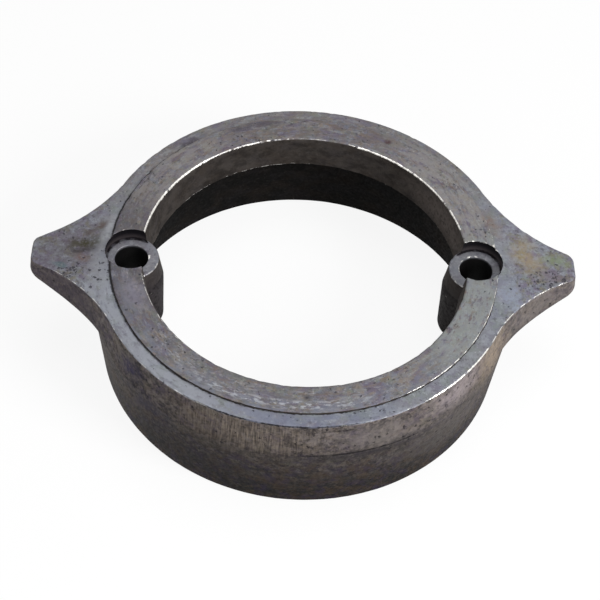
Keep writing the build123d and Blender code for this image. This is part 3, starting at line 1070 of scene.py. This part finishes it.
level_marks = on_level(drilled_marks, boss_top_height, drilled_mark_depth)
colour = lay_tints(tree, colour, mark_mask, level_marks)
# Painted shade: the holes are painted black below the bosses' tops, and the counterbore's wall darkens
# towards its mouth.
hole_shade = fade(height, boss_top_height - 0.2, boss_top_height - 1.2)
colour = lay_colour(hole_shade, colour, (0.006, 0.0055, 0.006, 1.0))
counterbore_shade = fade(height, boss_top_height + 0.6, boss_top_height + 2.8)
shaded_counterbore_colour = lay_colour(counterbore_shade, (0.056, 0.047, 0.050, 1.0), (0.007, 0.006, 0.008, 1.0))
on_wall = fade(height, boss_top_height + 0.1, boss_top_height + 0.5)
colour = lay_colour(on_wall, colour, shaded_counterbore_colour)
colour, wear = lay_edges(
    tree, colour, wear_reach=0.3, dirt_and_shade_reach=1.5, dirt_and_shade_colour=(0.010, 0.008, 0.010, 1.0)
)
metallic = fade(wear, 0.0, 1.0, bottom=0.3, top=0.95)
grain = noise_at(place["Place"], scale=2.0, detail=4.0)
roughness = fade(grain, 0.25, 0.75, bottom=0.42, top=0.58)
finish_surface(tree, shader, colour, metallic, roughness, grain, relief_depth=0.04 * mm, gloss=0.15)

# Which finish each face has, by where it lies and how it is turned.
rubbed_slope = cos(radians(48))
lowest_slope = -0.5
near_drill = 0.4
below_boss_top, above_boss_top = 0.6, 0.1
below_rim = 0.3
sharp_angle = radians(38)
rubbed_index, wall_index, hollow_index, drilled_index = range(4)
for face in skin.faces:
    middle = face.calc_center_median() / mm
    to_screw = Vector((copysign(screw_reach, middle.x) - middle.x, -middle.y))
    from_screw = to_screw.length
    faces_up = face.normal.z > rubbed_slope
    faces_screw = face.normal.xy.dot(to_screw) > 0
    in_drill = from_screw < counterbore_radius + near_drill
    drilled_wall = in_drill and faces_screw and middle.z > boss_foot_height
    boss_top_rise = middle.z - boss_top_height
    faced_top = faces_up and -below_boss_top < boss_top_rise < above_boss_top
    drilled = from_screw < boss_top_radius + near_drill and (drilled_wall or faced_top)
    on_rim_or_land = faces_up and middle.z > rim_height - below_rim
    face.smooth = True
    if drilled and face.normal.z > lowest_slope and not on_rim_or_land:
        face.material_index = drilled_index
    elif faces_up and boss_top_rise > 0:
        face.material_index = rubbed_index
    elif face.normal.xy.dot(middle.xy) > 0 and middle.xy.length > land_radius:
        face.material_index = wall_index
    else:
        face.material_index = hollow_index
casting_mesh = bpy.data.meshes.new("ring_casting_skin")
skin.to_mesh(casting_mesh)
skin.free()
casting_mesh.set_sharp_from_angle(angle=sharp_angle)
for finish in (face_finish, wall_skin_and_shade, hollow_skin_and_shade, drilled_zinc_and_shade):
    casting_mesh.materials.append(finish)
casting.data = casting_mesh
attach(casting, "root")
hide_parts("anode_ring")


# Floor. A plain pale table top that the ring stands on, painted white. The camera sees it
# white with a trace of the ring's shadow, and it throws only a little light back up.
floor_half_width = 3.0
floor_drop = 0.02 * mm
white_share = 0.9


def seen_rays(tree):
    """A mask of the rays that the camera sees by, straight or by way of metal and glass."""
    rays = add_node(tree, "LightPath").outputs
    seen = calculate("MAXIMUM", rays["Is Camera Ray"], rays["Is Glossy Ray"])
    return calculate("MAXIMUM", seen, rays["Is Transmission Ray"])


floor_mesh = bpy.data.meshes.new("table_top")
floor_signs = ((-1, -1), (1, -1), (1, 1), (-1, 1))
floor_corners = [(x * floor_half_width, y * floor_half_width, -floor_drop) for x, y in floor_signs]
floor_mesh.from_pydata(floor_corners, [], [(0, 1, 2, 3)])
floor = add_object("table_top", floor_mesh)
floor_paint, tree, shader = start_finish("table_white")
tree.nodes.remove(shader)
dull = add_node(tree, "BsdfDiffuse", {"Color": (0.15, 0.15, 0.15, 1.0)}).outputs[0]
shaded = add_node(tree, "BsdfDiffuse", {"Color": (0.95, 0.95, 0.95, 1.0)}).outputs[0]
white_glow = {"Color": (1.0, 1.0, 1.0, 1.0), "Strength": 1.0}
white = add_node(tree, "Emission", white_glow).outputs[0]
shown = add_node(tree, "MixShader", {0: white_share, 1: shaded, 2: white}).outputs[0]
floor_look = add_node(tree, "MixShader", {0: seen_rays(tree), 1: dull, 2: shown}).outputs[0]
tree.links.new(floor_look, tree.nodes["Material Output"].inputs["Surface"])
floor_mesh.materials.append(floor_paint)


# Studio light. A soft key lamp stands to the right in front, a weaker one to the left, and a
# wide one hangs overhead; the room's white walls fill the rest.
ring_top = Vector((0, 0, overall_height * mm))
lamps = (
    ("key_lamp", (0.46, -0.34, 0.42), 0.24, 4.4),
    ("fill_lamp", (-0.50, -0.46, 0.36), 0.35, 1.2),
    ("overhead_lamp", (0.05, 0.10, 0.90), 0.60, 3.4),
)
room_fill = 0.12
for lamp_name, lamp_place, lamp_size, lamp_power in lamps:
    lamp_light = bpy.data.lights.new(lamp_name, "AREA")
    lamp_light.size = lamp_size
    lamp_light.energy = lamp_power
    lamp = add_object(lamp_name, lamp_light)
    lamp.location = lamp_place
    lamp.rotation_euler = (ring_top - lamp.location).to_track_quat("-Z", "Y").to_euler()
room = bpy.data.worlds.new("white_room")
room.use_nodes = True
room_glow = room.node_tree.nodes["Background"]
room_glow.inputs["Color"].default_value = (1.0, 1.0, 1.0, 1.0)
glow_strength = fade(seen_rays(room.node_tree), 0.0, 1.0, bottom=room_fill, top=1.0)
room.node_tree.links.new(glow_strength, room_glow.inputs["Strength"])
bpy.context.scene.world = room


# Camera. It looks down at the ring from the front through a long lens, turned and rolled by a
# few degrees.
camera_distance = 466.94 * mm
camera_elevation = radians(48.873)
camera_azimuth = radians(-2.601)
camera_tilt = radians(-1.701)
camera_pan = radians(-0.064)
camera_roll = radians(3.961)
camera_lens = bpy.data.cameras.new("camera")
camera_lens.sensor_width = 36.0
camera_lens.lens = 93.0
camera_lens.clip_start = 0.01
camera = add_object("camera", camera_lens)
from_ring = Vector(
    (
        sin(camera_azimuth) * cos(camera_elevation),
        -cos(camera_azimuth) * cos(camera_elevation),
        sin(camera_elevation),
    )
)
facing = (-from_ring).to_track_quat("-Z", "Y").to_matrix().to_4x4()
aim = facing @ Matrix.Rotation(camera_tilt, 4, "X") @ Matrix.Rotation(-camera_pan, 4, "Y")
rolled = aim @ Matrix.Rotation(camera_roll, 4, "Z")
camera.matrix_world = Matrix.Translation(ring_top + from_ring * camera_distance) @ rolled
bpy.context.scene.camera = camera
bpy.context.scene.view_settings.view_transform = "Standard"
